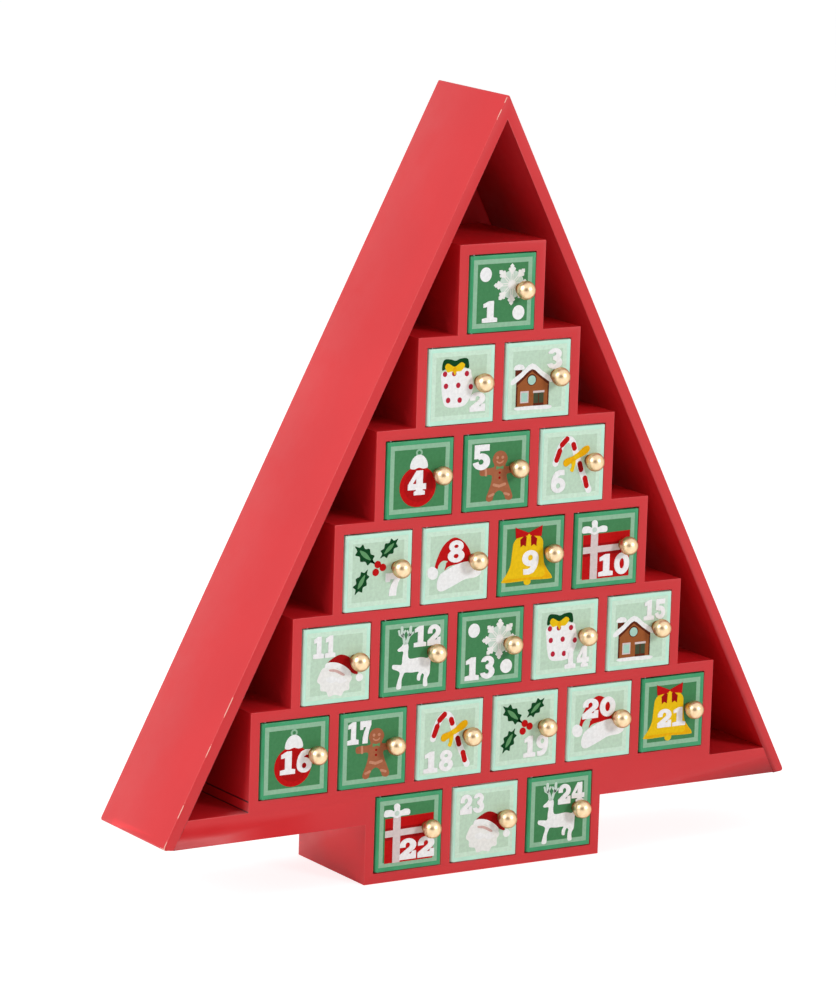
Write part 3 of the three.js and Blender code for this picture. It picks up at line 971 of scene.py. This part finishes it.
def soft_panel(material):
    """The back panel stays the CAD node, with its flat faces joined and its edges broken."""
    panel = frame["nodes"]["back_panel"]
    weld = panel.modifiers.new("Weld", "WELD")
    weld.merge_threshold = WELD
    flat = panel.modifiers.new("Flat", "DECIMATE")
    flat.decimate_type = "DISSOLVE"
    flat.angle_limit = FLAT_ANGLE
    bevel = panel.modifiers.new("RoundEdges", "BEVEL")
    bevel.width = PANEL_EDGE
    bevel.segments = PANEL_SEGMENTS
    bevel.limit_method = "ANGLE"
    panel.data.materials.clear()
    panel.data.materials.append(material)


def door_blank():
    """The first door's solid about its middle, with its outer edges but not its holes marked to round."""
    low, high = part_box("door_01")
    middle = (low + high) / 2
    made = bmesh.new()
    made.from_mesh(frame["nodes"]["door_01"].data)
    bmesh.ops.remove_doubles(made, verts=made.verts, dist=WELD)
    bmesh.ops.translate(made, verts=made.verts, vec=-middle)
    flatten(made)
    pin = Vector(frame["joints"][0]["pos_m"]) - middle
    inner_half = (high.z - low.z) / 2 - MM

    def round_a_hole(edge):
        near_pin = all((vert.co.xy - pin.xy).length < HOLE_REACH for vert in edge.verts)
        near_knob = all(abs(vert.co.z) < inner_half and vert.co.x > 0 for vert in edge.verts)
        return near_pin or near_knob

    mark_convex(made, skip=round_a_hole)
    mesh = bpy.data.meshes.new("door_blank")
    made.to_mesh(mesh)
    made.free()
    return mesh


def door(number, blank, material):
    name = f"door_{number:02d}"
    low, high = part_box(name)
    mesh = blank.copy()
    mesh.materials.clear()
    mesh.materials.append(material)
    made = new_object(f"painted_door_{number:02d}", mesh)
    made.location = (low + high) / 2
    round_edges(made, DOOR_EDGE)
    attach(made, name)
    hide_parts(name)


def knob_stem():
    """Radius and height over the door, in millimetres, from the shank's end over the foot to the neck."""
    shank = [(0, -KNOB_SHANK_LENGTH), (KNOB_SHANK, -KNOB_SHANK_LENGTH), (KNOB_SHANK, 0)]
    foot = [(KNOB_FOOT - 0.1, 0), (KNOB_FOOT, 0.12), (KNOB_FOOT, 0.45), (KNOB_FOOT - 0.1, 0.65)]
    neck = [(KNOB_NECK + 0.25, 0.95), (KNOB_NECK + 0.05, 1.15)]
    return shank + foot + neck


def knob_ball():
    """Radius and height from the neck to the top of the ball."""
    angle = math.asin(KNOB_NECK / KNOB_BALL)
    centre = KNOB_NECK_LENGTH + KNOB_BALL * math.cos(angle)
    profile = []
    for step in range(KNOB_BALL_STEPS):
        turn = angle + (math.pi - angle) * step / KNOB_BALL_STEPS
        profile.append((KNOB_BALL * math.sin(turn), centre - KNOB_BALL * math.cos(turn)))
    return profile + [(0, centre + KNOB_BALL)]


def knob_blank():
    """A turned ball knob whose axis points out of the door, along -Y; its stem has the second material."""
    stem = knob_stem()
    made = bmesh.new()
    rings = []
    for radius, height in stem + knob_ball():
        if radius == 0:
            rings.append([made.verts.new((0, -height * MM, 0))])
            continue
        ring = []
        for side in range(KNOB_SIDES):
            angle = math.tau * side / KNOB_SIDES
            across, up = radius * math.cos(angle), radius * math.sin(angle)
            ring.append(made.verts.new((across * MM, -height * MM, up * MM)))
        rings.append(ring)
    for index, (lower, upper) in enumerate(zip(rings, rings[1:])):
        for side in range(KNOB_SIDES):
            after = (side + 1) % KNOB_SIDES
            corners = [lower[side % len(lower)], lower[after % len(lower)], upper[after % len(upper)],
                       upper[side % len(upper)]]
            face = made.faces.new(list(dict.fromkeys(corners)))
            face.material_index = 1 if index < len(stem) else 0
    bmesh.ops.recalc_face_normals(made, faces=made.faces)
    mesh = bpy.data.meshes.new("knob_blank")
    made.to_mesh(mesh)
    made.free()
    shade_smooth(mesh)
    return mesh


def knob(number, blank, materials):
    name = f"knob_{number:02d}"
    low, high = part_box(name)
    middle = (low + high) / 2
    door_low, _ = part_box(f"door_{number:02d}")
    made = new_object(f"brass_knob_{number:02d}", blank.copy())
    for material in materials:
        made.data.materials.append(material)
    made.location = (middle.x, door_low.y, middle.z)
    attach(made, f"door_{number:02d}")
    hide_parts(name)


def print_shapes(number):
    """A door's field, border and picture."""
    green = number in GREEN_DOORS
    field, line = ("green_field", "green_line") if green else ("mint_field", "mint_line")
    outer = moved(square(PRINT_HALF), *PRINT_SHIFT)
    inner = moved(square(PRINT_HALF - LINE_WIDTH), *PRINT_SHIFT)
    picture = PICTURES[(number - 1) % len(PICTURES)]
    return [(field, FIELD_LAYER, [inner]), (line, BORDER_LAYER, [outer, inner])] + picture()


def all_doors():
    inks = {name: ink(f"ink_{name}", colour) for name, colour in INKS.items()}
    paints = {
        "green_door": door_paint("green_door_paint", GREEN_FRESH, GREEN_DEEP),
        "mint_door": door_paint("mint_door_paint", MINT_FRESH, MINT_DEEP),
    }
    knob_materials = [brass(), tarnished_brass()]
    blank = door_blank()
    turned = knob_blank()
    for number in range(1, DOOR_COUNT + 1):
        slot = "green_door" if number in GREEN_DOORS else "mint_door"
        body = f"door_{number:02d}"
        door(number, blank, paints[slot])
        knob(number, turned, knob_materials)
        low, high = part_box(body)
        middle = ((low.x + high.x) / 2, low.y, (low.z + high.z) / 2)
        printed(f"picture_{number:02d}", print_shapes(number), middle, body, inks)
        printed(f"number_{number:02d}", numeral(number), middle, body, inks)


# Stage, light and camera

def stage_plane(name, size, place, material, turn=(0, 0, 0)):
    made = bmesh.new()
    bmesh.ops.create_grid(made, x_segments=1, y_segments=1, size=size / 2)
    mesh = bpy.data.meshes.new(name)
    made.to_mesh(mesh)
    made.free()
    mesh.materials.append(material)
    plane = new_object(name, mesh)
    plane.location = place
    plane.rotation_euler = turn
    return plane


def seen_directly(tree):
    """1 for what the camera, a reflection or a refraction sees."""
    path = tree.nodes.new("ShaderNodeLightPath")
    seen = path.outputs["Is Camera Ray"]
    for ray in ("Is Glossy Ray", "Is Transmission Ray"):
        either = tree.nodes.new("ShaderNodeMath")
        either.operation = "MAXIMUM"
        tree.links.new(seen, either.inputs[0])
        tree.links.new(path.outputs[ray], either.inputs[1])
        seen = either.outputs[0]
    return seen


def floor_material():
    """A floor that lights the object like white paper, shows white and keeps a soft shadow."""
    paint = Paint("studio_floor")
    paint.set(Roughness=0.9, Specular_IOR_Level=0, Emission_Color=WHITE)
    seen = seen_directly(paint.tree)
    tone = paint.mix(seen, grey(FLOOR_BOUNCE), grey(FLOOR_TONE))
    paint.link(tone, paint.shader.inputs["Base Color"])
    paint.link(paint.math("MULTIPLY", seen, FLOOR_GLOW), paint.shader.inputs["Emission Strength"])
    return paint.material


def world():
    """Even light all round, and white where it is seen."""
    made = bpy.data.worlds.new("studio")
    bpy.context.scene.world = made
    made.use_nodes = True
    tree = made.node_tree
    background = tree.nodes["Background"]
    background.inputs["Color"].default_value = WHITE
    strength = tree.nodes.new("ShaderNodeMix")
    strength.data_type = "FLOAT"
    for socket, value in zip(NUMBER_SOCKETS, (WORLD_LIGHT, 1.0)):
        strength.inputs[socket].default_value = value
    tree.links.new(seen_directly(tree), strength.inputs["Factor"])
    tree.links.new(strength.outputs[0], background.inputs["Strength"])


def area_light(name, place, aim, size, watts, spread=180):
    lamp = bpy.data.lights.new(name, "AREA")
    lamp.shape = "SQUARE"
    lamp.size = size
    lamp.energy = watts
    lamp.spread = math.radians(spread)
    made = bpy.data.objects.new(name, lamp)
    bpy.context.scene.collection.objects.link(made)
    made.location = place
    made.rotation_euler = (Vector(aim) - Vector(place)).to_track_quat("-Z", "Y").to_euler()
    return made


def dark_studio_side(camera):
    """The dark room behind the camera as a glowing card seen only in reflections: it paints the small spot
    reflected in each knob.
    """
    paint = Paint("painted_knob_reflection")
    paint.set(Base_Color=BLACK, Specular_IOR_Level=0, Emission_Color=KNOB_REFLECTION_GLOW, Emission_Strength=1.0)
    place = camera.matrix_world @ Vector((0, 0, KNOB_REFLECTION_CARD_BEHIND))
    card = stage_plane("painted_knob_reflection", KNOB_REFLECTION_CARD_SIZE, place, paint.material, camera.rotation_euler)
    card.visible_camera = False
    card.visible_diffuse = False
    card.visible_transmission = False
    card.visible_shadow = False


def photo_camera():
    """The camera that sees the object as the photograph does."""
    data = bpy.data.cameras.new("photo_camera")
    data.lens = LENS
    data.sensor_width = SENSOR
    data.clip_start, data.clip_end = CAMERA_CLIP
    data.shift_x, data.shift_y = CAMERA_SHIFT
    camera = bpy.data.objects.new("photo_camera", data)
    bpy.context.scene.collection.objects.link(camera)
    upright = Matrix.Rotation(math.radians(90), 3, "X")
    turned = Matrix.Rotation(-CAMERA_YAW, 3, "Z") @ upright
    tilted = turned @ Matrix.Rotation(-CAMERA_PITCH, 3, "X")
    rolled = tilted @ Matrix.Rotation(CAMERA_ROLL, 3, "Z")
    camera.matrix_world = Matrix.Translation(CAMERA_PLACE) @ rolled.to_4x4()
    bpy.context.scene.camera = camera
    return camera


def stage():
    camera = photo_camera()
    bpy.context.view_layer.update()
    stage_plane("floor", FLOOR_SIZE, (0, 0, 0), floor_material())
    world()
    dark_studio_side(camera)
    middle = (0, 0, 0.18)
    area_light("left", place=(-2.0, 0.1, 1.4), aim=middle, size=1.4, watts=34)
    area_light("front_right", place=(1.0, -2.5, 1.3), aim=middle, size=0.6, watts=28)
    trunk_side = (-0.066, 0, 0.016)
    bounce = area_light(
        "low_bounce", place=(-0.17, -0.005, 0.008), aim=trunk_side, size=0.05, watts=0.0027, spread=18
    )
    bounce.visible_glossy = False
    bounce.visible_camera = False
    bpy.context.scene.view_settings.view_transform = "Standard"


stage()
painted_carcass([
    red_paint("red_satin_paint", joints=True),
    red_paint("red_worn_and_highlit_edge", edge=True, joints=True),
])
soft_panel(red_paint("red_panel_paint"))
hinge_nails(steel())
all_doors()
